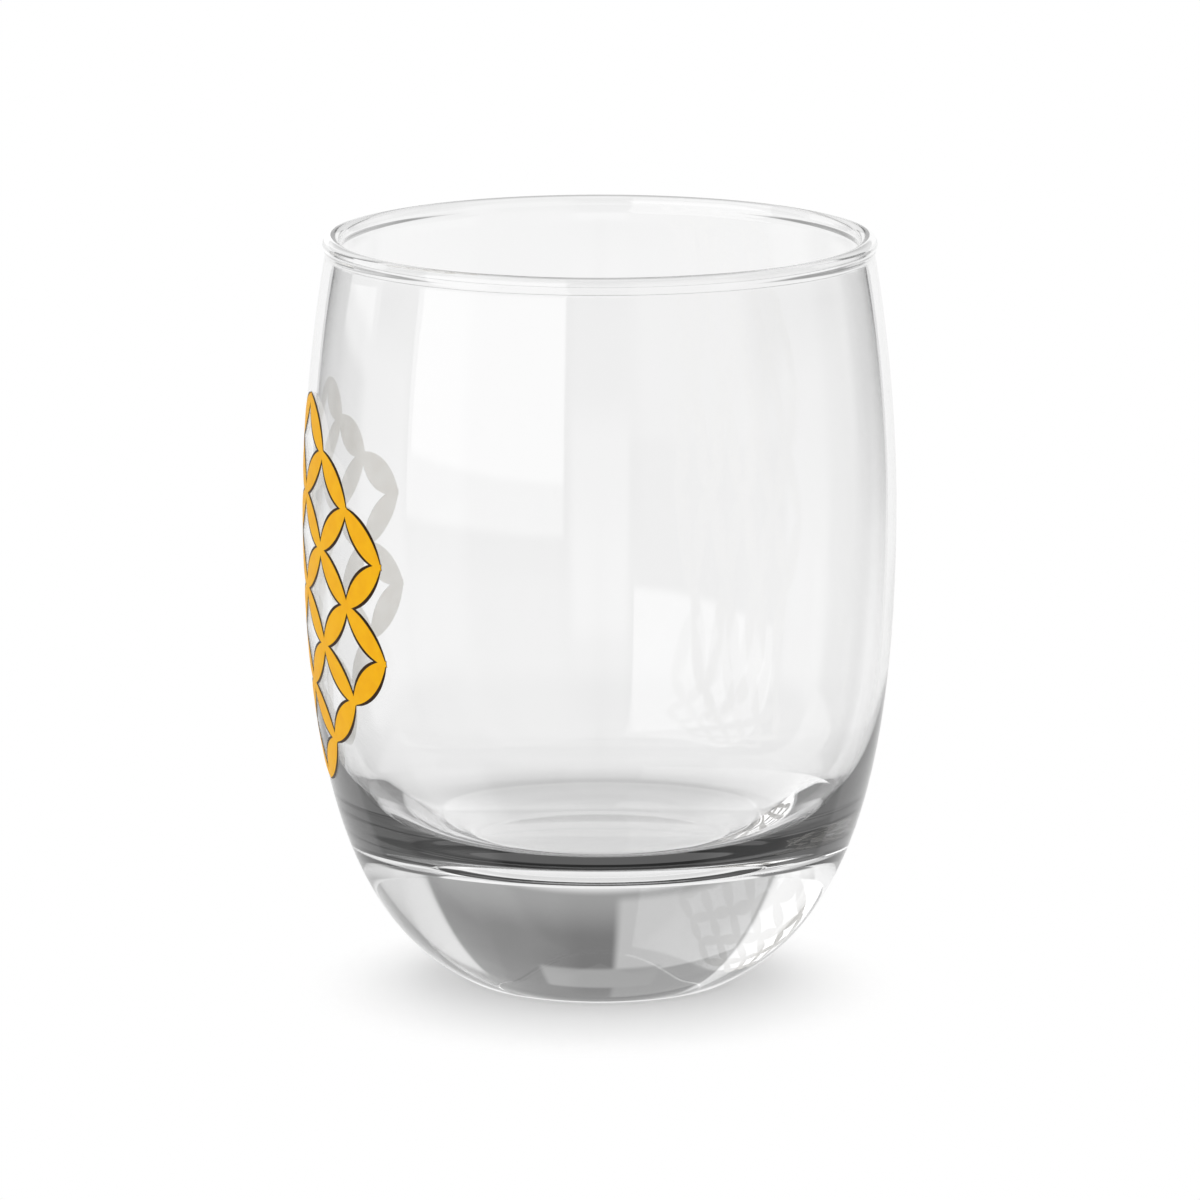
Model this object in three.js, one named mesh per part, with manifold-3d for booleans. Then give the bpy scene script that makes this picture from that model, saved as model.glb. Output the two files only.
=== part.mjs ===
// A barrel-shaped whisky glass: one moulded body with a heavy base and a beaded rim,
// and a panel of gold petals printed on its wall in three layers of ink.
// Millimetres, +Z up. The origin is the centre of the foot, and the print faces -Y.

import * as THREE from "three";
import { mergeVertices } from "three/addons/utils/BufferGeometryUtils.js";
import Module from "manifold-3d";

// Outside of the glass
const overallHeight = 84.2;
const bellyDiameter = 66.5;
const bellyHeight = 53.3;
const neckDiameter = 60.9;
const neckLeanDegrees = 10.2;
const neckReach = 9.8;
const upperBellyReach = 8;
const lowerBellyReach = 28;
const footDiameter = 31;
const footClimbDegrees = 26.4;
const footReach = 15;

// Rim bead
const beadWidth = 2;
const beadHeight = 1.74;
const beadBlendDegrees = 30;
const neckBlendLength = 0.5;

// Inside of the glass
const wallThickness = 1.1;
const baseThickness = 16;
const floorDiameter = 35.4;
const floorFilletRadius = 13.8;
const floorFilletDegrees = 38;
const floorFilletReach = 4.5;
const wallFootHeight = 35.7;
const wallFootReach = 4.4;

// Printed panel: petals along the sides of a grid of lozenges, five a side without the corners
const printCentreHeight = 45.6;
const cellsAside = 5;
const cellWidth = 12.6;
const cellHeight = 10.8;
const petalWidth = 3.5;
const petalOverlap = 1.2;
const edgeWidth = 0.4;
const inkThickness = 0.05;
const inkGap = 0.03;

// Facets
const turnSteps = 64;
const lowerWallSteps = 10;
const upperWallSteps = 6;
const innerWallSteps = 4;
const cornerSteps = 6;
const filletSteps = 4;
const blendSteps = 2;
const beadSteps = 8;
const petalSteps = 4;
const heightHalvings = 30;

const bellyRadius = bellyDiameter / 2;
const neckRadius = neckDiameter / 2;
const footRadius = footDiameter / 2;
const floorRadius = floorDiameter / 2;

const point = (radius, height) => new THREE.Vector2(radius, height);
const sampled = (curve, steps) => curve.getPoints(steps);

// The wall's middle meets the bead at its centre, and each side of it creases into the bead.
const beadCentre = point(neckRadius - wallThickness / 2, overallHeight - beadHeight / 2);
const creaseAngle = Math.acos(wallThickness / beadWidth);
const creaseHeight = beadCentre.y - (beadHeight / 2) * Math.sin(creaseAngle);
const neckHeight = creaseHeight - neckBlendLength;
const neckLean = THREE.MathUtils.degToRad(neckLeanDegrees);
const beadBlend = THREE.MathUtils.degToRad(beadBlendDegrees);

function beadPoint(angle) {
  return point(
    beadCentre.x + (beadWidth / 2) * Math.cos(angle),
    beadCentre.y + (beadHeight / 2) * Math.sin(angle),
  );
}

// Outer wall from the foot up to the belly, and from the belly up to the neck.
function outerWall() {
  const climb = THREE.MathUtils.degToRad(footClimbDegrees);
  const lower = new THREE.CubicBezierCurve(
    point(footRadius, 0),
    point(footRadius + footReach * Math.cos(climb), footReach * Math.sin(climb)),
    point(bellyRadius, bellyHeight - lowerBellyReach),
    point(bellyRadius, bellyHeight),
  );
  const upper = upperCurve(bellyRadius, neckRadius);
  return { lower, upper };
}

function upperCurve(radiusAtBelly, radiusAtNeck) {
  return new THREE.CubicBezierCurve(
    point(radiusAtBelly, bellyHeight),
    point(radiusAtBelly, bellyHeight + upperBellyReach),
    point(radiusAtNeck + neckReach * Math.sin(neckLean), neckHeight - neckReach * Math.cos(neckLean)),
    point(radiusAtNeck, neckHeight),
  );
}

// How far along a rising curve a height is reached, by halving.
function shareAtHeight(curve, height) {
  let low = 0;
  let high = 1;
  for (let halving = 0; halving < heightHalvings; halving++) {
    const middle = (low + high) / 2;
    if (curve.getPoint(middle).y < height) low = middle;
    else high = middle;
  }
  return low;
}

// A place on a wall curve, moved square to it: outwards, or inwards where the distance is negative.
function besideWall(curve, share, distance) {
  const along = curve.getTangent(share);
  return curve.getPoint(share).addScaledVector(point(along.y, -along.x), distance);
}

// Inside from the flat floor up to the neck: a fillet, a corner, and a wall of even thickness.
function innerWall() {
  const { lower } = outerWall();
  const fillet = [];
  const filletSweep = THREE.MathUtils.degToRad(floorFilletDegrees);
  for (let step = 0; step <= filletSteps; step++) {
    const angle = (filletSweep * step) / filletSteps;
    fillet.push(
      point(
        floorRadius + floorFilletRadius * Math.sin(angle),
        baseThickness + floorFilletRadius * (1 - Math.cos(angle)),
      ),
    );
  }
  const filletEnd = fillet.at(-1);
  const filletAlong = point(Math.cos(filletSweep), Math.sin(filletSweep));
  const wallFoot = shareAtHeight(lower, wallFootHeight);
  const wallFootPoint = besideWall(lower, wallFoot, -wallThickness);
  const corner = new THREE.CubicBezierCurve(
    filletEnd,
    filletEnd.clone().addScaledVector(filletAlong, floorFilletReach),
    wallFootPoint.clone().addScaledVector(lower.getTangent(wallFoot), -wallFootReach),
    wallFootPoint,
  );
  const wall = [];
  for (let step = 1; step <= innerWallSteps; step++) {
    const share = THREE.MathUtils.lerp(wallFoot, 1, step / innerWallSteps);
    wall.push(besideWall(lower, share, -wallThickness));
  }
  const upper = upperCurve(bellyRadius - wallThickness, neckRadius - wallThickness);
  return [
    ...fillet,
    ...sampled(corner, cornerSteps).slice(1),
    ...wall,
    ...sampled(upper, upperWallSteps).slice(1),
  ];
}

// A small hollow curve from the wall's neck into the bead, on the outer side or the inner one.
function neckBlend(wallRadius, beadAngle) {
  return new THREE.QuadraticBezierCurve(
    point(wallRadius, neckHeight),
    point(wallRadius, creaseHeight),
    beadPoint(beadAngle),
  );
}

function glassProfile() {
  const outer = outerWall();
  const bead = [];
  for (let step = 1; step < beadSteps; step++) {
    bead.push(beadPoint(-beadBlend + ((Math.PI + 2 * beadBlend) * step) / beadSteps));
  }
  return [
    point(0, 0),
    ...sampled(outer.lower, lowerWallSteps),
    ...sampled(outer.upper, upperWallSteps).slice(1),
    ...sampled(neckBlend(neckRadius, -beadBlend), blendSteps).slice(1),
    ...bead,
    ...sampled(neckBlend(neckRadius - wallThickness, Math.PI + beadBlend), blendSteps).reverse(),
    ...innerWall().reverse().slice(1),
    point(0, baseThickness),
  ];
}

// Turns a profile about the upright axis.
function turned(profile) {
  return new THREE.LatheGeometry(profile, turnSteps).rotateX(Math.PI / 2);
}

const wasm = await Module();
wasm.setup();

function solidOf(geometry) {
  geometry.deleteAttribute("normal");
  geometry.deleteAttribute("uv");
  const merged = mergeVertices(geometry);
  return new wasm.Manifold(
    new wasm.Mesh({
      numProp: 3,
      vertProperties: merged.attributes.position.array,
      triVerts: new Uint32Array(merged.index.array),
    }),
  );
}

function geometryOf(solid) {
  const mesh = solid.getMesh();
  const geometry = new THREE.BufferGeometry();
  geometry.setAttribute("position", new THREE.BufferAttribute(mesh.vertProperties, 3));
  geometry.setIndex(new THREE.BufferAttribute(mesh.triVerts, 1));
  geometry.computeVertexNormals();
  return geometry;
}

const joined = (solids) => solids.reduce((whole, next) => whole.add(next));

// A skin of one ink layer right round the wall, on the same facets as the glass.
function inkSkin(layer) {
  const { lower, upper } = outerWall();
  const near = inkGap + layer * (inkThickness + inkGap);
  const offset = (distance) => {
    const line = [];
    for (const [curve, steps] of [[lower, lowerWallSteps], [upper, upperWallSteps]]) {
      for (let step = 1; step <= steps; step++) {
        line.push(besideWall(curve, step / steps, distance));
      }
    }
    return line;
  };
  const inside = offset(near);
  const outside = offset(near + inkThickness);
  return solidOf(turned([...outside, ...inside.reverse(), outside[0]]));
}

// A place on the panel, measured along the wall, as it lies on the flat plane that faces the print.
function onPanel(across, up) {
  return point(bellyRadius * Math.sin(across / bellyRadius), printCentreHeight + up);
}

// A block through the wall with a drawn outline.
function block(outline) {
  const shape = new THREE.Shape(outline);
  const geometry = new THREE.ExtrudeGeometry(shape, { depth: bellyDiameter, bevelEnabled: false });
  return solidOf(geometry.rotateX(Math.PI / 2));
}

// A petal between two points of the grid: two arcs that cross a little past both points,
// drawn in by an inset.
function petalOutline([from, to], inset) {
  const middle = from.clone().lerp(to, 0.5);
  const along = to.clone().sub(from).normalize();
  const half = from.distanceTo(to) / 2 + petalOverlap;
  const bulge = petalWidth / 2;
  const arcRadius = (half * half + bulge * bulge) / (2 * bulge);
  const arcCentre = arcRadius - bulge;
  const radius = arcRadius - inset;
  const sweep = Math.acos(arcCentre / radius);
  const outline = [];
  for (const side of [1, -1]) {
    for (let step = 0; step < petalSteps; step++) {
      const angle = sweep * (1 - (2 * step) / petalSteps);
      const forward = side * radius * Math.sin(angle);
      const sideways = side * (radius * Math.cos(angle) - arcCentre);
      outline.push(
        onPanel(
          middle.x + forward * along.x - sideways * along.y,
          middle.y + forward * along.y + sideways * along.x,
        ),
      );
    }
  }
  return outline;
}

// The sides of the lozenges, as pairs of grid points, without the four corner points.
function panelSides() {
  const reach = cellsAside / 2;
  const isCorner = (a, b) => Math.abs(a) === reach && Math.abs(b) === reach;
  const place = (a, b) => point(((a - b) * cellWidth) / 2, ((a + b) * cellHeight) / 2);
  const sides = [];
  for (let a = -reach; a <= reach; a++) {
    for (let b = -reach; b <= reach; b++) {
      for (const [nextA, nextB] of [[a + 1, b], [a, b + 1]]) {
        if (nextA > reach || nextB > reach || isCorner(a, b) || isCorner(nextA, nextB)) continue;
        sides.push([place(a, b), place(nextA, nextB)]);
      }
    }
  }
  return sides;
}

const sides = panelSides();
const petalBlocks = (inset) => joined(sides.map((side) => block(petalOutline(side, inset))));
const wholePetals = petalBlocks(0);
const innerPetals = petalBlocks(edgeWidth);

function material(color, roughness) {
  return new THREE.MeshStandardMaterial({ color, roughness, metalness: 0 });
}

const glass = new THREE.Group();

function addPiece(name, geometry, look) {
  const mesh = new THREE.Mesh(geometry, look);
  mesh.name = name;
  glass.add(mesh);
}

addPiece("glass_body", turned(glassProfile()), material("#eef1f2", 0.03));
addPiece("print_white_base", geometryOf(inkSkin(0).intersect(wholePetals)), material("#f1efea", 0.5));
addPiece("print_dark_edge", geometryOf(inkSkin(1).intersect(wholePetals)), material("#2c1c0c", 0.4));
addPiece("print_gold_petals", geometryOf(inkSkin(2).intersect(innerPetals)), material("#f8b530", 0.4));

export default glass;
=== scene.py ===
import bmesh
import bpy
import math
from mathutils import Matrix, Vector


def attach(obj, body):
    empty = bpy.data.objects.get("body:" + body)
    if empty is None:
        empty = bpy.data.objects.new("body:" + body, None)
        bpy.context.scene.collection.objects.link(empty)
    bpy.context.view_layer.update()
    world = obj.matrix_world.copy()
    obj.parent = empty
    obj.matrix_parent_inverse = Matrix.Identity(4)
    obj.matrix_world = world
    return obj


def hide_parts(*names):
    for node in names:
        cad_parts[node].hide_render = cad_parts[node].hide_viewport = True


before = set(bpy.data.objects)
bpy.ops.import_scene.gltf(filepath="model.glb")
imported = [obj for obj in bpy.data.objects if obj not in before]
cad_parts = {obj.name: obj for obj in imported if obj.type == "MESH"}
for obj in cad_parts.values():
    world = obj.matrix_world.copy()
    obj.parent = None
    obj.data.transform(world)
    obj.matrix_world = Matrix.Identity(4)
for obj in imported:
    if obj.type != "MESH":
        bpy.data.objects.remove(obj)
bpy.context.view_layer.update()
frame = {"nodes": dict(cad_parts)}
scene = bpy.context.scene
print("frame loaded:", ", ".join(frame["nodes"]))

mm = 0.001
glassWeld = 1e-6
inkWeld = 1e-8


def hexColour(code):
    parts = [int(code[i:i + 2], 16) / 255 for i in (1, 3, 5)]
    linear = [p / 12.92 if p <= 0.04045 else ((p + 0.055) / 1.055) ** 2.4 for p in parts]
    return (*linear, 1.0)


def addNode(tree, kind, inputs=None, **settings):
    # inputs: socket name or number -> a value, or another node's output to link from
    node = tree.nodes.new(kind)
    for name, value in settings.items():
        setattr(node, name, value)
    for key, value in (inputs or {}).items():
        if isinstance(value, bpy.types.NodeSocket):
            tree.links.new(value, node.inputs[key])
        else:
            node.inputs[key].default_value = value
    return node


# Camera: at the photograph's angle, with the print seen edge-on
cameraSettings = {
    "lens": 240.0,
    "sensor": 36.0,
    "distance": 899.4 * mm,
    "elevation": 11.5,      # degrees above level
    "aimHeight": 42.7 * mm,
}


def makeCamera(s):
    data = bpy.data.cameras.new("camera")
    data.lens = s["lens"]
    data.sensor_width = s["sensor"]
    camera = bpy.data.objects.new("camera", data)
    scene.collection.objects.link(camera)
    tilt = math.radians(s["elevation"])
    aim = Vector((0.0, 0.0, s["aimHeight"]))
    camera.location = aim + s["distance"] * Vector((math.cos(tilt), 0.0, math.sin(tilt)))
    camera.rotation_euler = (aim - camera.location).to_track_quat("-Z", "Y").to_euler()
    scene.camera = camera


makeCamera(cameraSettings)
scene.view_settings.view_transform = "Standard"
print("camera placed")

# light stays sharp in the glass on its way to the print and the floor
scene.cycles.blur_glossy = 0.0


# Glass: the solid's profile with a softer rim, fine enough to refract cleanly, in mm and degrees
glassSettings = {
    "overallHeight": 84.2,
    "bellyRadius": 33.25,
    "bellyHeight": 53.3,
    "neckRadius": 30.68,
    "neckLean": 10.2,
    "neckReach": 9.8,
    "upperBellyReach": 8.0,
    "lowerBellyReach": 28.0,
    "footRadius": 15.5,
    "footClimb": 26.4,
    "footReach": 15.0,
    "beadWidth": 2.0,
    "beadHeight": 1.74,
    "beadBlend": 15.0,       # where on the bead the wall flares into it
    "neckBlend": 0.4,
    "wall": 1.1,
    "neckWall": 1.5,         # the wall thickens from the belly up to the neck
    "wallFootHeight": 35.7,  # below this the inside leaves the wall for the floor
    "wallFootReach": 4.4,
    "base": 16.0,
    "floorRadius": 17.7,
    "fillet": 13.8,
    "filletDegrees": 38.0,
    "filletReach": 4.5,
    "turnSteps": 240,
    "lowerSteps": 80,
    "upperSteps": 30,
    "blendSteps": 6,
    "beadSteps": 24,
    "cornerSteps": 24,
    "filletSteps": 20,
    "flatSteps": 8,
    "waveLength": 18.0,
    "waveDepth": 0.02,
    "lastReflection": 3.5,   # after the fourth, light leaks out
    # below baseEnds the leak is cut down by height, a painted shade in the base
    "paintedShadeLeakInBase": 0.12,
    "leakInWall": 1.0,
    "baseEnds": 32.0,
    "wallBegins": 48.0,
}


def curvePoints(controls, steps):
    # points along a Bezier curve of any degree
    points = []
    for i in range(steps + 1):
        t = i / steps
        level = [Vector(c) for c in controls]
        while len(level) > 1:
            level = [a.lerp(b, t) for a, b in zip(level, level[1:])]
        points.append(level[0])
    return points


def setIn(points, s, neckLevel):
    # the same line moved square to itself, from the outside of the wall to the inside
    moved = []
    for i, p in enumerate(points):
        along = (points[min(i + 1, len(points) - 1)] - points[max(i - 1, 0)]).normalized()
        share = max(0.0, (p.y - s["bellyHeight"]) / (neckLevel - s["bellyHeight"]))
        wall = s["wall"] + (s["neckWall"] - s["wall"]) * share * share
        moved.append(p + wall * Vector((-along.y, along.x)))
    return moved


def glassProfile(s):
    lean = math.radians(s["neckLean"])
    climb = math.radians(s["footClimb"])
    blend = math.radians(s["beadBlend"])
    innerNeck = s["neckRadius"] - s["neckWall"]
    beadRadius = s["neckRadius"] - s["neckWall"] / 2
    beadLevel = s["overallHeight"] - s["beadHeight"] / 2
    halfWidth = s["beadWidth"] / 2
    halfHeight = s["beadHeight"] / 2
    flare = halfWidth * math.cos(blend) - s["neckWall"] / 2
    crease = beadLevel - halfHeight * (math.sin(blend) + flare / halfWidth / math.tan(blend))
    neckLevel = crease - s["neckBlend"]

    def bead(angle):
        return (beadRadius + halfWidth * math.cos(angle), beadLevel + halfHeight * math.sin(angle))

    lower = curvePoints([
        (s["footRadius"], 0),
        (s["footRadius"] + s["footReach"] * math.cos(climb), s["footReach"] * math.sin(climb)),
        (s["bellyRadius"], s["bellyHeight"] - s["lowerBellyReach"]),
        (s["bellyRadius"], s["bellyHeight"])], s["lowerSteps"])
    upper = curvePoints([
        (s["bellyRadius"], s["bellyHeight"]),
        (s["bellyRadius"], s["bellyHeight"] + s["upperBellyReach"]),
        (s["neckRadius"] + s["neckReach"] * math.sin(lean), neckLevel - s["neckReach"] * math.cos(lean)),
        (s["neckRadius"], neckLevel)], s["upperSteps"])
    inside = setIn(lower + upper[1:], s, neckLevel)
    wall = [p for p in inside if p.y > s["wallFootHeight"]][:-1]
    down = (wall[0] - wall[1]).normalized()
    turn = math.radians(s["filletDegrees"])
    fillet = []
    for i in range(s["filletSteps"], -1, -1):
        angle = turn * i / s["filletSteps"]
        fillet.append(Vector((s["floorRadius"] + s["fillet"] * math.sin(angle),
                              s["base"] + s["fillet"] * (1 - math.cos(angle)))))
    corner = curvePoints([
        wall[0],
        wall[0] + s["wallFootReach"] * down,
        fillet[0] + s["filletReach"] * Vector((math.cos(turn), math.sin(turn))),
        fillet[0]], s["cornerSteps"])
    outerBlend = [(s["neckRadius"], neckLevel), (s["neckRadius"], crease), bead(-blend)]
    innerBlend = [bead(math.pi + blend), (innerNeck, crease), (innerNeck, neckLevel)]
    sweep = math.pi + 2 * blend
    beadPoints = [Vector(bead(-blend + sweep * i / s["beadSteps"])) for i in range(s["beadSteps"] + 1)]
    return (curvePoints([(0, 0), (s["footRadius"], 0)], s["flatSteps"])
            + lower[1:]
            + upper[1:]
            + curvePoints(outerBlend, s["blendSteps"])[1:]
            + beadPoints[1:]
            + curvePoints(innerBlend, s["blendSteps"])[1:]
            + wall[::-1]
            + corner[1:]
            + fillet[1:]
            + curvePoints([(s["floorRadius"], s["base"]), (0, s["base"])], s["flatSteps"])[1:])


def turningTree():
    # turns the profile curve about Z: a grid whose columns are the profile's points
    tree = bpy.data.node_groups.new("turnedGlass", "GeometryNodeTree")
    face = tree.interface
    face.new_socket("Profile", in_out="INPUT", socket_type="NodeSocketGeometry")
    face.new_socket("Turn Steps", in_out="INPUT", socket_type="NodeSocketInt")
    face.new_socket("Glass", in_out="INPUT", socket_type="NodeSocketMaterial")
    face.new_socket("Geometry", in_out="OUTPUT", socket_type="NodeSocketGeometry")
    group = addNode(tree, "NodeGroupInput")
    size = addNode(tree, "GeometryNodeAttributeDomainSize", {"Geometry": group.outputs["Profile"]},
                   component="CURVE")
    rows = addNode(tree, "ShaderNodeMath", {0: group.outputs["Turn Steps"], 1: 1.0}, operation="ADD")
    grid = addNode(tree, "GeometryNodeMeshGrid", {"Size X": 1.0, "Size Y": 1.0,
                   "Vertices X": size.outputs["Point Count"], "Vertices Y": rows.outputs[0]})
    place = addNode(tree, "GeometryNodeInputPosition")
    parts = addNode(tree, "ShaderNodeSeparateXYZ", {0: place.outputs[0]})
    last = addNode(tree, "ShaderNodeMath", {0: size.outputs["Point Count"], 1: 1.0},
                   operation="SUBTRACT")
    along = addNode(tree, "ShaderNodeMath", {0: parts.outputs["X"], 1: 0.5}, operation="ADD")
    column = addNode(tree, "ShaderNodeMath", {0: along.outputs[0], 1: last.outputs[0]},
                     operation="MULTIPLY")
    index = addNode(tree, "ShaderNodeMath", {0: column.outputs[0]}, operation="ROUND")
    angle = addNode(tree, "ShaderNodeMath", {0: parts.outputs["Y"], 1: 2 * math.pi},
                    operation="MULTIPLY")
    drawn = addNode(tree, "GeometryNodeInputPosition")
    sample = addNode(tree, "GeometryNodeSampleIndex", {"Geometry": group.outputs["Profile"],
                     "Index": index.outputs[0]}, data_type="FLOAT_VECTOR", domain="POINT")
    tree.links.new(drawn.outputs[0], sample.inputs["Value"])
    turned = addNode(tree, "ShaderNodeVectorRotate", {"Vector": sample.outputs[0],
                     "Angle": angle.outputs[0]}, rotation_type="Z_AXIS")
    moved = addNode(tree, "GeometryNodeSetPosition", {"Geometry": grid.outputs["Mesh"],
                    "Position": turned.outputs[0]})
    welded = addNode(tree, "GeometryNodeMergeByDistance", {"Geometry": moved.outputs[0],
                     "Distance": glassWeld})
    smooth = addNode(tree, "GeometryNodeSetShadeSmooth", {"Geometry": welded.outputs[0]})
    whole = addNode(tree, "GeometryNodeRealizeInstances", {"Geometry": smooth.outputs[0]})
    shown = addNode(tree, "GeometryNodeSetMaterial", {"Geometry": whole.outputs[0],
                    "Material": group.outputs["Glass"]})
    addNode(tree, "NodeGroupOutput", {"Geometry": shown.outputs[0]})
    return tree


def runTree(source, tree, values, name):
    # gives the tree its inputs, evaluates it and keeps the result as a plain mesh object
    modifier = source.modifiers.new(tree.name, "NODES")
    modifier.node_group = tree
    for item in tree.interface.items_tree:
        if item.in_out == "INPUT" and item.name in values:
            modifier[item.identifier] = values[item.name]
    source.update_tag()
    graph = bpy.context.evaluated_depsgraph_get()
    mesh = bpy.data.meshes.new_from_object(source.evaluated_get(graph), depsgraph=graph)
    mesh.name = name
    piece = bpy.data.objects.new(name, mesh)
    scene.collection.objects.link(piece)
    source.modifiers.remove(modifier)
    bpy.data.objects.remove(source)
    return piece


def outwards(piece):
    # turns the mesh round if its faces point inwards
    mesh = piece.data
    mesh.calc_loop_triangles()
    volume = 0.0
    for t in mesh.loop_triangles:
        a, b, c = (mesh.vertices[i].co for i in t.vertices)
        volume += a.dot(b.cross(c))
    if volume < 0:
        mesh.flip_normals()
    return volume


def glassMaterial(s):
    # soda-lime glass, moulded and fire-polished: clear, colourless, glossy and faintly wavy
    material = bpy.data.materials.new("sodaLimeGlass")
    material.use_nodes = True
    tree = material.node_tree
    shader = tree.nodes["Principled BSDF"]
    shader.inputs["Base Color"].default_value = hexColour("#FEFEFE")
    shader.inputs["Roughness"].default_value = 0.0
    shader.inputs["IOR"].default_value = 1.52
    shader.inputs["Transmission Weight"].default_value = 1.0
    coords = addNode(tree, "ShaderNodeTexCoord")
    waves = addNode(tree, "ShaderNodeTexNoise", {"Vector": coords.outputs["Object"],
                    "Scale": 1 / (s["waveLength"] * mm), "Detail": 1.0})
    bump = addNode(tree, "ShaderNodeBump", {"Strength": 1.0, "Distance": s["waveDepth"] * mm,
                   "Height": waves.outputs[0]})
    tree.links.new(bump.outputs[0], shader.inputs["Normal"])
    # light still caught after its last reflection leaks out: much of it in the wall, little in the base, a
    # painted shade that darkens the base by height alone
    path = addNode(tree, "ShaderNodeLightPath")
    caught = addNode(tree, "ShaderNodeMath", {0: path.outputs["Glossy Depth"], 1: s["lastReflection"]},
                     operation="GREATER_THAN")
    place = addNode(tree, "ShaderNodeSeparateXYZ", {0: coords.outputs["Object"]})
    level = addNode(tree, "ShaderNodeMapRange", {"Value": place.outputs["Z"],
                    "From Min": s["baseEnds"] * mm, "From Max": s["wallBegins"] * mm,
                    "To Min": s["paintedShadeLeakInBase"], "To Max": s["leakInWall"]})
    once = addNode(tree, "ShaderNodeMath", {0: level.outputs[0], 1: path.outputs["Transparent Depth"]},
                   operation="MAXIMUM", use_clamp=True)
    rest = addNode(tree, "ShaderNodeBsdfTransparent", {"Color": once.outputs[0]})
    both = addNode(tree, "ShaderNodeMixShader", {0: caught.outputs[0], 1: shader.outputs[0],
                   2: rest.outputs[0]})
    tree.links.new(both.outputs[0], tree.nodes["Material Output"].inputs["Surface"])
    return material


def makeGlass(s):
    points = glassProfile(s)
    data = bpy.data.curves.new("glassProfile", "CURVE")
    data.dimensions = "3D"
    line = data.splines.new("POLY")
    line.points.add(len(points) - 1)
    for spot, p in zip(line.points, points):
        spot.co = (p.x * mm, 0.0, p.y * mm, 1.0)
    source = bpy.data.objects.new("glassProfile", data)
    scene.collection.objects.link(source)
    values = {"Turn Steps": s["turnSteps"], "Glass": glassMaterial(s)}
    glass = runTree(source, turningTree(), values, "tumbler")
    print("glass volume sign", outwards(glass), "faces", len(glass.data.polygons))
    return glass


glass = makeGlass(glassSettings)
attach(glass, "root")
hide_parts("glass_body")


# Print: a lattice of gold petals with dark edges on a white base, three thin layers of ink
printSettings = {
    "centreHeight": 45.6,
    "cells": 5,             # lozenges a side, without the four corners
    "cellWidth": 12.6,
    "cellHeight": 10.8,
    "petalWidth": 3.5,
    "petalOverlap": 1.2,    # how far a petal's arcs run past the points of the lattice
    "edgeOverlap": 0.55,    # the same for the layers under the gold, so that no tips stick out
    "petalSteps": 20,
    "edgeWidth": 0.4,       # of the dark ink that shows round the gold
    "thickness": 0.02,
    "gap": 0.012,           # under each layer
    "cloudSize": 1.6,       # where the ink is a little thinner
    "cloudStart": 0.4,
    "cloudFull": 0.65,
    "grainSize": 0.12,
    "grainDepth": 0.01,
    "grainStrength": 0.6,
    "sheen": 0.12,
    "sharpAngle": 40,       # degrees; a sharper bend is an edge of the film
}


def petalMesh(s, overlap, inset):
    # one upright-sided petal, two arcs that meet at its tips, drawn in by the inset
    half = math.hypot(s["cellWidth"], s["cellHeight"]) / 4 + overlap
    bulge = s["petalWidth"] / 2
    arcRadius = (half * half + bulge * bulge) / (2 * bulge)
    arcCentre = arcRadius - bulge
    radius = arcRadius - inset
    reach = math.sqrt(radius * radius - arcCentre * arcCentre)
    form = bmesh.new()
    tips = [form.verts.new((side * reach * mm, 0.0, 0.0)) for side in (-1, 1)]
    pairs = []
    for i in range(1, s["petalSteps"]):
        x = reach * (2 * i / s["petalSteps"] - 1)
        y = math.sqrt(radius * radius - x * x) - arcCentre
        pairs.append([form.verts.new((x * mm, side * y * mm, 0.0)) for side in (-1, 1)])
    for (a, b), (c, d) in zip(pairs, pairs[1:]):
        form.faces.new((a, c, d, b))
    form.faces.new((tips[0], *pairs[0]))
    form.faces.new((tips[1], *pairs[-1][::-1]))
    body = bmesh.ops.extrude_face_region(form, geom=form.faces[:])
    raised = [v for v in body["geom"] if isinstance(v, bmesh.types.BMVert)]
    bmesh.ops.translate(form, verts=raised, vec=(0.0, 0.0, mm))
    bmesh.ops.recalc_face_normals(form, faces=form.faces[:])
    mesh = bpy.data.meshes.new("petal")
    form.to_mesh(mesh)
    form.free()
    return mesh


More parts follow.
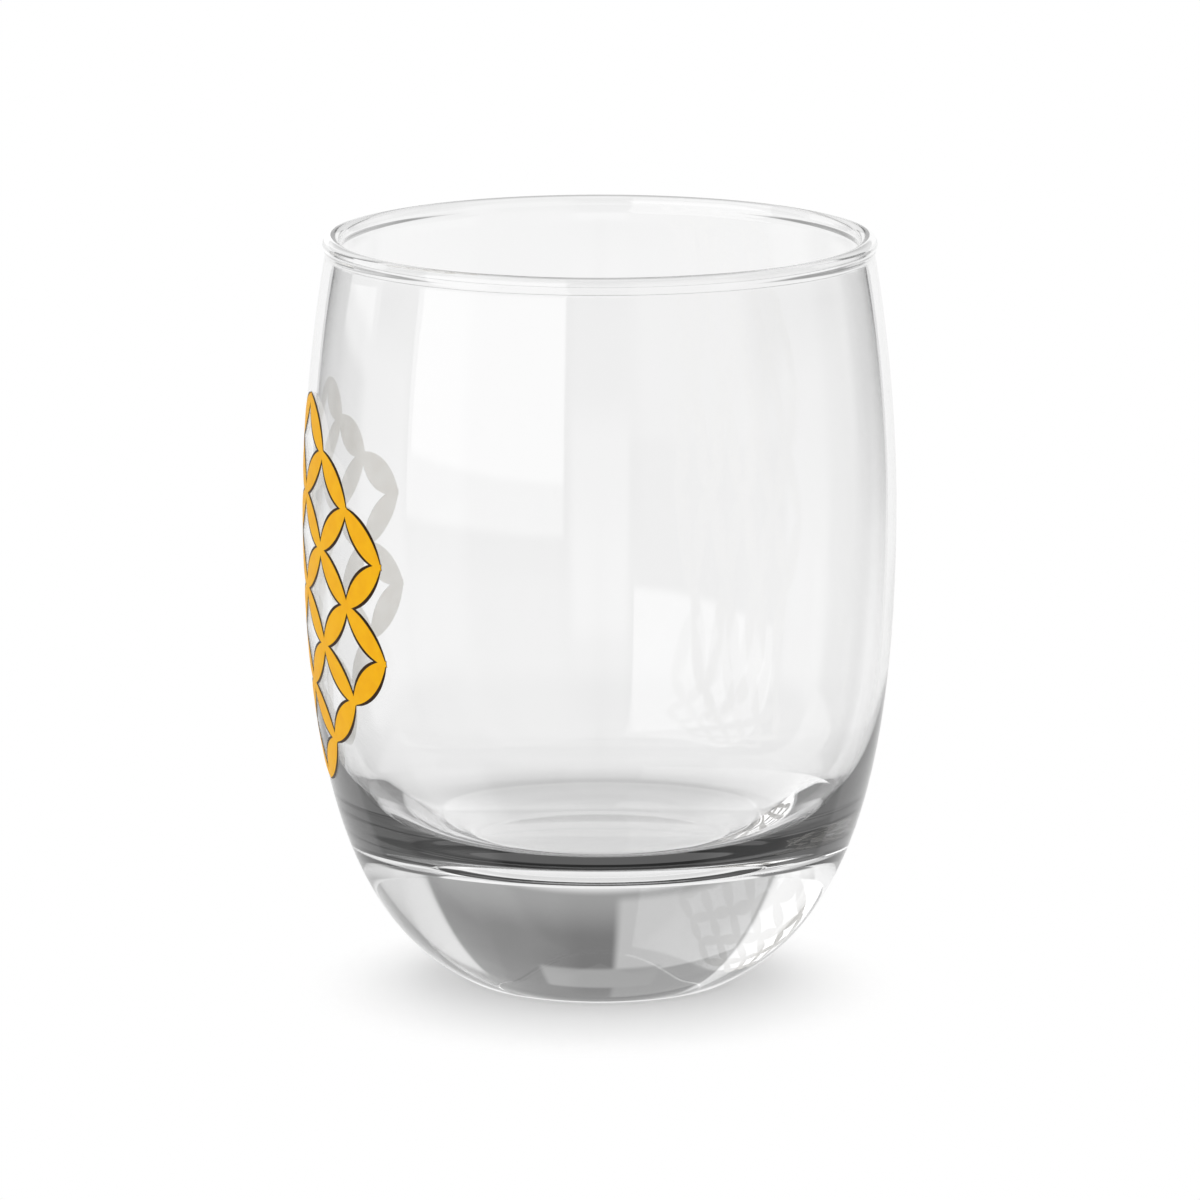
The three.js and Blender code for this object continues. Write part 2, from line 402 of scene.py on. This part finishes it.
def latticeTree(s):
    # sets petals on the lattice, joins them, wraps the sheet on the glass and gives it its thickness
    tree = bpy.data.node_groups.new("petalLattice", "GeometryNodeTree")
    face = tree.interface
    face.new_socket("Petal", in_out="INPUT", socket_type="NodeSocketGeometry")
    face.new_socket("Glass", in_out="INPUT", socket_type="NodeSocketObject")
    face.new_socket("Cells", in_out="INPUT", socket_type="NodeSocketInt")
    for size in ("Cell Width", "Cell Height", "Centre Height", "Belly Radius", "Lift", "Thickness"):
        face.new_socket(size, in_out="INPUT", socket_type="NodeSocketFloat")
    face.new_socket("Ink", in_out="INPUT", socket_type="NodeSocketMaterial")
    face.new_socket("Geometry", in_out="OUTPUT", socket_type="NodeSocketGeometry")
    group = addNode(tree, "NodeGroupInput").outputs

    # one point at the middle of each lozenge's side, in two directions; a corner's sides are those whose
    # two grid steps have the largest product, and these are left out
    fewer = addNode(tree, "ShaderNodeMath", {0: group["Cells"], 1: 1.0}, operation="SUBTRACT")
    more = addNode(tree, "ShaderNodeMath", {0: group["Cells"], 1: 1.0}, operation="ADD")
    area = addNode(tree, "ShaderNodeMath", {0: group["Cells"], 1: fewer.outputs[0]},
                   operation="MULTIPLY")
    corner = addNode(tree, "ShaderNodeMath", {0: area.outputs[0], 1: 0.25, 2: -0.1},
                     operation="MULTIPLY_ADD")
    lean = addNode(tree, "ShaderNodeMath", {0: group["Cell Height"], 1: group["Cell Width"]},
                   operation="ARCTAN2")
    place = addNode(tree, "GeometryNodeInputPosition")
    at = addNode(tree, "ShaderNodeSeparateXYZ", {0: place.outputs[0]}).outputs
    product = addNode(tree, "ShaderNodeMath", {0: at["X"], 1: at["Y"]}, operation="MULTIPLY")
    distance = addNode(tree, "ShaderNodeMath", {0: product.outputs[0]}, operation="ABSOLUTE")
    atCorner = addNode(tree, "ShaderNodeMath", {0: distance.outputs[0], 1: corner.outputs[0]},
                       operation="GREATER_THAN")
    across = addNode(tree, "ShaderNodeMath", {0: at["X"], 1: at["Y"]}, operation="SUBTRACT")
    up = addNode(tree, "ShaderNodeMath", {0: at["X"], 1: at["Y"]}, operation="ADD")
    halfStep = addNode(tree, "ShaderNodeCombineXYZ", {"X": across.outputs[0], "Y": up.outputs[0]})
    cell = addNode(tree, "ShaderNodeCombineXYZ", {"X": group["Cell Width"], "Y": group["Cell Height"]})
    whole = addNode(tree, "ShaderNodeVectorMath", {0: halfStep.outputs[0], 1: cell.outputs[0]},
                    operation="MULTIPLY")
    spot = addNode(tree, "ShaderNodeVectorMath", {0: whole.outputs[0], "Scale": 0.5}, operation="SCALE")
    petals = addNode(tree, "GeometryNodeJoinGeometry")
    rising = (1.0, group["Cells"], more.outputs[0])
    falling = (-1.0, more.outputs[0], group["Cells"])
    for turn, columns, rows in (rising, falling):
        width = addNode(tree, "ShaderNodeMath", {0: columns, 1: 1.0}, operation="SUBTRACT")
        height = addNode(tree, "ShaderNodeMath", {0: rows, 1: 1.0}, operation="SUBTRACT")
        grid = addNode(tree, "GeometryNodeMeshGrid", {"Size X": width.outputs[0],
                       "Size Y": height.outputs[0], "Vertices X": columns, "Vertices Y": rows})
        kept = addNode(tree, "GeometryNodeDeleteGeometry", {"Geometry": grid.outputs["Mesh"],
                       "Selection": atCorner.outputs[0]}, domain="POINT")
        spread = addNode(tree, "GeometryNodeSetPosition", {"Geometry": kept.outputs[0],
                         "Position": spot.outputs[0]})
        angle = addNode(tree, "ShaderNodeMath", {0: lean.outputs[0], 1: turn}, operation="MULTIPLY")
        turned = addNode(tree, "ShaderNodeCombineXYZ", {"Z": angle.outputs[0]})
        copies = addNode(tree, "GeometryNodeInstanceOnPoints", {"Points": spread.outputs[0],
                         "Instance": group["Petal"], "Rotation": turned.outputs[0]})
        tree.links.new(copies.outputs[0], petals.inputs[0])
    apart = addNode(tree, "GeometryNodeRealizeInstances", {"Geometry": petals.outputs[0]})
    joined = addNode(tree, "GeometryNodeMeshBoolean", {"Mesh 2": apart.outputs[0],
                     "Self Intersection": True}, operation="UNION", solver="EXACT")

    # only the top of the joined petals is kept, and laid on the wall in front of it
    normal = addNode(tree, "GeometryNodeInputNormal")
    facing = addNode(tree, "ShaderNodeSeparateXYZ", {0: normal.outputs[0]})
    isTop = addNode(tree, "ShaderNodeMath", {0: facing.outputs["Z"], 1: 0.5}, operation="GREATER_THAN")
    top = addNode(tree, "GeometryNodeSeparateGeometry", {"Geometry": joined.outputs["Mesh"],
                  "Selection": isTop.outputs[0]}, domain="FACE")
    fine = addNode(tree, "GeometryNodeSubdivideMesh", {"Mesh": top.outputs["Selection"], "Level": 1})
    turn = addNode(tree, "ShaderNodeMath", {0: at["X"], 1: group["Belly Radius"]}, operation="DIVIDE")
    sine = addNode(tree, "ShaderNodeMath", {0: turn.outputs[0]}, operation="SINE")
    aside = addNode(tree, "ShaderNodeMath", {0: sine.outputs[0], 1: group["Belly Radius"]},
                    operation="MULTIPLY")
    before = addNode(tree, "ShaderNodeMath", {0: group["Belly Radius"], 1: -2.0}, operation="MULTIPLY")
    level = addNode(tree, "ShaderNodeMath", {0: at["Y"], 1: group["Centre Height"]}, operation="ADD")
    start = addNode(tree, "ShaderNodeCombineXYZ", {"X": aside.outputs[0], "Y": before.outputs[0],
                    "Z": level.outputs[0]})
    glass = addNode(tree, "GeometryNodeObjectInfo", {"Object": group["Glass"]})
    found = addNode(tree, "GeometryNodeRaycast", {"Target Geometry": glass.outputs["Geometry"],
                    "Source Position": start.outputs[0], "Ray Direction": (0.0, 1.0, 0.0),
                    "Ray Length": 1.0})
    raised = addNode(tree, "ShaderNodeVectorMath", {0: found.outputs["Hit Normal"],
                     "Scale": group["Lift"]}, operation="SCALE")
    seat = addNode(tree, "ShaderNodeVectorMath", {0: found.outputs["Hit Position"], 1: raised.outputs[0]},
                   operation="ADD")
    laid = addNode(tree, "GeometryNodeSetPosition", {"Geometry": fine.outputs[0],
                   "Position": seat.outputs[0]})

    # the film: the sheet raised by its thickness, its sides, and the sheet turned over
    film = addNode(tree, "GeometryNodeExtrudeMesh", {"Mesh": laid.outputs[0],
                   "Offset Scale": group["Thickness"], "Individual": False})
    under = addNode(tree, "GeometryNodeFlipFaces", {"Mesh": laid.outputs[0]})
    both = addNode(tree, "GeometryNodeJoinGeometry", {0: film.outputs["Mesh"]})
    tree.links.new(under.outputs[0], both.inputs[0])
    closed = addNode(tree, "GeometryNodeMergeByDistance", {"Geometry": both.outputs[0],
                     "Distance": inkWeld})
    bend = addNode(tree, "GeometryNodeInputMeshEdgeAngle")
    sharp = addNode(tree, "ShaderNodeMath", {0: bend.outputs["Unsigned Angle"],
                    1: math.radians(s["sharpAngle"])}, operation="GREATER_THAN")
    smooth = addNode(tree, "GeometryNodeSetShadeSmooth", {"Geometry": closed.outputs[0]}, domain="FACE")
    crisp = addNode(tree, "GeometryNodeSetShadeSmooth", {"Geometry": smooth.outputs[0],
                    "Selection": sharp.outputs[0], "Shade Smooth": False}, domain="EDGE")
    plain = addNode(tree, "GeometryNodeRealizeInstances", {"Geometry": crisp.outputs[0]})
    shown = addNode(tree, "GeometryNodeSetMaterial", {"Geometry": plain.outputs[0],
                    "Material": group["Ink"]})
    addNode(tree, "NodeGroupOutput", {"Geometry": shown.outputs[0]})
    return tree


def inkMaterial(name, colour, thinColour, roughness, s):
    # screen-printed, fired enamel: opaque and satin, thinner in soft clouds, with the grain of the screen
    material = bpy.data.materials.new(name)
    material.use_nodes = True
    tree = material.node_tree
    shader = tree.nodes["Principled BSDF"]
    shader.inputs["Roughness"].default_value = roughness
    shader.inputs["Specular IOR Level"].default_value = s["sheen"]
    coords = addNode(tree, "ShaderNodeTexCoord")
    clouds = addNode(tree, "ShaderNodeTexNoise", {"Vector": coords.outputs["Object"],
                     "Scale": 1 / (s["cloudSize"] * mm), "Detail": 3.0})
    cover = addNode(tree, "ShaderNodeMapRange", {"Value": clouds.outputs[0],
                    "From Min": s["cloudStart"], "From Max": s["cloudFull"]})
    shade = addNode(tree, "ShaderNodeMix", {"Factor": cover.outputs[0], "A": hexColour(colour),
                    "B": hexColour(thinColour)}, data_type="RGBA")
    tree.links.new(shade.outputs["Result"], shader.inputs["Base Color"])
    grain = addNode(tree, "ShaderNodeTexNoise", {"Vector": coords.outputs["Object"],
                    "Scale": 1 / (s["grainSize"] * mm), "Detail": 2.0})
    bump = addNode(tree, "ShaderNodeBump", {"Strength": s["grainStrength"],
                   "Distance": s["grainDepth"] * mm, "Height": grain.outputs[0]})
    tree.links.new(bump.outputs[0], shader.inputs["Normal"])
    return material


def makePrint(s, glass):
    tree = latticeTree(s)
    white = inkMaterial("whiteEnamel", "#F1EFEA", "#ECE9E3", 0.5, s)
    dark = inkMaterial("darkEnamel", "#2C1C0C", "#3A2713", 0.4, s)
    gold = inkMaterial("goldEnamel", "#F5B502", "#F1AD00", 0.5, s)
    whole = (s["edgeOverlap"], 0.0)
    inner = (s["petalOverlap"], s["edgeWidth"])
    layers = (
        ("whiteBase", "print_white_base", "white_ink", whole, white),
        ("darkEdge", "print_dark_edge", "dark_ink", whole, dark),
        ("goldPetals", "print_gold_petals", "gold_ink", inner, gold),
    )
    for level, (name, node, slot, outline, ink) in enumerate(layers):
        source = bpy.data.objects.new("petal", petalMesh(s, *outline))
        scene.collection.objects.link(source)
        values = {
            "Glass": glass,
            "Cells": s["cells"],
            "Cell Width": s["cellWidth"] * mm,
            "Cell Height": s["cellHeight"] * mm,
            "Centre Height": s["centreHeight"] * mm,
            "Belly Radius": glassSettings["bellyRadius"] * mm,
            "Lift": (s["gap"] + level * (s["gap"] + s["thickness"])) * mm,
            "Thickness": s["thickness"] * mm,
            "Ink": ink,
        }
        film = runTree(source, tree, values, name)
        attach(film, "root")
        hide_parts(node)
        print("print layer", name, len(film.data.polygons), "faces")


makePrint(printSettings, glass)


# Studio: a white floor in plain light, with softboxes and grey cards that only the glass shows.
# Each panel: compass direction from +X towards +Y, width, lowest and highest edge and how softly
# it ends, all in degrees, and how bright it is. A later panel stands before an earlier one.
stageSettings = {
    "floorRadius": 160 * mm,
    "floorSides": 96,
    "floorDrop": 0.2 * mm,
    "floorColour": "#FCFCFC",
    # the floor's real shadow runs out into a painted white glow, centred here and fading from shadowFull
    # to shadowGone
    "shadowCentre": 6 * mm,     # in front of the glass
    "shadowFull": 18 * mm,
    "shadowGone": 34 * mm,
    "ambient": 1.03,            # plain light on the print and the floor
    "throughSides": 1.0,        # the same light where it comes through the glass
    "throughTop": 0.2,
    "sidesEnd": 20,
    "topStarts": 50,
    "caughtAside": 0.12,        # seen past four reflections in the glass
    "caughtDown": 0.8,
    "wallStarts": -40,
    "wallFull": -60,
    "room": 0.15,
    "around": [                 # the backdrop as the other sides see it straight through the glass
        (90, 64, -24, 4, 4, 0.92),
        (0, 24, -24, 4, 3, 0.92),
        (264, 26, -24, 4, 3, 0.92),
        (-47, 70, -12, -2.6, 0.6, 0.4),     # the softbox's foot, nearer the glass's far wall
    ],
    "panels": [
        (180, 360, -30, -8, 6, 0.65),       # floor all round
        (180, 250, -75, -30, 8, 0.7),
        (125, 50, -56, -33, 6, 1.2),
        (235, 50, -56, -33, 6, 1.0),
        (285, 40, -56, -30, 6, 1.0),
        (180, 66, -62, -30, 3, 0.92),
        (180, 70, -90, -46, 9, 0.62),
        (180, 180, 60, 90, 5, 0.7),         # ceiling
        (38, 50, -30, 60, 6, 0.65),         # dim softbox at the right front
        (126, 42, 11, 45, 3, 0.75),         # sides behind the glass
        (232, 38, 11, 60, 3, 0.95),
        (180, 104, -34, -12, 3, 0.92),      # backdrop
        (180, 67, 11, 50, 1, 0.2),          # grey card, lighter below and at one side
        (180, 67, 5, 16, 5, 0.36),
        (198, 30, 12, 33, 1, 0.56),
        (198, 30, 33, 50, 1, 0.35),
        (180, 26, 31, 41, 1, 0.38),
        (180, 60, -14, 10.5, 1, 0.95),
        (-47, 66, -8.4, 50, 0.6, 1.6),        # softbox at the left front
        (-117, 24, 0, 40, 1, 1.1),
    ],
}


def floorMaterial(s):
    # white paper: it keeps its real shadow round the foot; further out camera rays see it glow plain
    # white, a painted fade that ends the shadow and runs into the white background
    material = bpy.data.materials.new("whitePaper")
    material.use_nodes = True
    tree = material.node_tree
    shader = tree.nodes["Principled BSDF"]
    shader.inputs["Base Color"].default_value = hexColour(s["floorColour"])
    shader.inputs["Roughness"].default_value = 1.0
    shader.inputs["Specular IOR Level"].default_value = 0.0
    coords = addNode(tree, "ShaderNodeTexCoord")
    away = addNode(tree, "ShaderNodeVectorMath", {0: coords.outputs["Object"],
                   1: (s["shadowCentre"], 0.0, 0.0)}, operation="DISTANCE")
    glowFade = addNode(tree, "ShaderNodeMapRange", {"Value": away.outputs["Value"],
                   "From Min": s["shadowFull"], "From Max": s["shadowGone"]},
                   interpolation_type="SMOOTHSTEP")
    path = addNode(tree, "ShaderNodeLightPath")
    share = addNode(tree, "ShaderNodeMath", {0: glowFade.outputs[0], 1: path.outputs["Is Camera Ray"]},
                    operation="MULTIPLY")
    white = addNode(tree, "ShaderNodeEmission", {"Color": (1.0, 1.0, 1.0, 1.0), "Strength": 1.0})
    both = addNode(tree, "ShaderNodeMixShader", {0: share.outputs[0], 1: shader.outputs[0],
                   2: white.outputs[0]})
    tree.links.new(both.outputs[0], tree.nodes["Material Output"].inputs["Surface"])
    return material


def makeFloor(s):
    bpy.ops.mesh.primitive_circle_add(vertices=s["floorSides"], radius=s["floorRadius"], fill_type="NGON",
                                      location=(0.0, 0.0, -s["floorDrop"]))
    floor = bpy.context.object
    floor.name = "floor"
    floor.data.materials.append(floorMaterial(s))
    floor.visible_glossy = False
    floor.visible_transmission = False


def panelLight(tree, direction, level, panels):
    # the studio's level with each panel laid over it
    for azimuth, width, low, high, edge, bright in panels:
        turned = addNode(tree, "ShaderNodeVectorRotate", {"Vector": direction,
                         "Angle": math.radians(-azimuth)}, rotation_type="Z_AXIS")
        parts = addNode(tree, "ShaderNodeSeparateXYZ", {0: turned.outputs[0]})
        across = addNode(tree, "ShaderNodeMath", {0: parts.outputs["Y"], 1: parts.outputs["X"]},
                         operation="ARCTAN2")
        up = addNode(tree, "ShaderNodeMath", {0: parts.outputs["Z"]}, operation="ARCSINE")
        cover = None
        for angle, middle, size in ((across, 0.0, width), (up, (low + high) / 2, high - low)):
            offset = addNode(tree, "ShaderNodeMath", {0: angle.outputs[0], 1: math.radians(middle)},
                             operation="SUBTRACT")
            away = addNode(tree, "ShaderNodeMath", {0: offset.outputs[0]}, operation="ABSOLUTE")
            inside = addNode(tree, "ShaderNodeMapRange", {"Value": away.outputs[0],
                             "From Min": math.radians(size / 2 + edge),
                             "From Max": math.radians(size / 2 - edge)}, interpolation_type="SMOOTHSTEP")
            if cover:
                inside = addNode(tree, "ShaderNodeMath", {0: cover.outputs[0], 1: inside.outputs[0]},
                                 operation="MULTIPLY")
            cover = inside
        mixed = addNode(tree, "ShaderNodeMix", {"Factor": cover.outputs[0], "A": level, "B": bright})
        level = mixed.outputs[0]
    return level


def makeWorld(s):
    world = bpy.data.worlds.new("studio")
    world.use_nodes = True
    scene.world = world
    tree = world.node_tree
    tree.nodes.clear()
    path = addNode(tree, "ShaderNodeLightPath")
    coords = addNode(tree, "ShaderNodeTexCoord")
    direction = coords.outputs["Generated"]
    studio = panelLight(tree, direction, s["room"], s["panels"])
    around = panelLight(tree, direction, studio, s["around"])
    # print and floor get plain light, less of it from above where it comes through the glass
    height = addNode(tree, "ShaderNodeSeparateXYZ", {0: direction})
    through = addNode(tree, "ShaderNodeMapRange", {"Value": height.outputs["Z"],
                      "From Min": math.sin(math.radians(s["sidesEnd"])),
                      "From Max": math.sin(math.radians(s["topStarts"])),
                      "To Min": s["throughSides"], "To Max": s["throughTop"]})
    lit = addNode(tree, "ShaderNodeMath", {0: path.outputs["Diffuse Depth"], 1: 0.5},
                  operation="GREATER_THAN")
    seen = addNode(tree, "ShaderNodeMix", {"Factor": path.outputs["Is Transmission Ray"], "A": studio,
                   "B": around})
    inGlass = addNode(tree, "ShaderNodeMix", {"Factor": lit.outputs[0], "A": seen.outputs[0],
                      "B": through.outputs[0]})
    # light reflected many times in the glass is dim, apart from what runs down the wall from the rim
    often = addNode(tree, "ShaderNodeMath", {0: path.outputs["Glossy Depth"],
                    1: glassSettings["lastReflection"]}, operation="GREATER_THAN")
    caught = addNode(tree, "ShaderNodeMath", {0: often.outputs[0], 1: path.outputs["Is Transmission Ray"]},
                     operation="MULTIPLY")
    dim = addNode(tree, "ShaderNodeMapRange", {"Value": height.outputs["Z"],
                  "From Min": math.sin(math.radians(s["wallStarts"])),
                  "From Max": math.sin(math.radians(s["wallFull"])),
                  "To Min": s["caughtAside"], "To Max": s["caughtDown"]})
    inGlass = addNode(tree, "ShaderNodeMix", {"Factor": caught.outputs[0], "A": inGlass.outputs[0],
                      "B": dim.outputs[0]})
    shiny = addNode(tree, "ShaderNodeMath", {0: path.outputs["Is Glossy Ray"],
                    1: path.outputs["Is Transmission Ray"]}, operation="MAXIMUM")
    level = addNode(tree, "ShaderNodeMix", {"Factor": shiny.outputs[0], "A": s["ambient"],
                    "B": inGlass.outputs[0]})
    level = addNode(tree, "ShaderNodeMix", {"Factor": path.outputs["Is Camera Ray"],
                    "A": level.outputs[0], "B": 1.0})
    light = addNode(tree, "ShaderNodeBackground", {"Color": (1.0, 1.0, 1.0, 1.0),
                    "Strength": level.outputs[0]})
    addNode(tree, "ShaderNodeOutputWorld", {"Surface": light.outputs[0]})


makeFloor(stageSettings)
makeWorld(stageSettings)
print("studio lit")
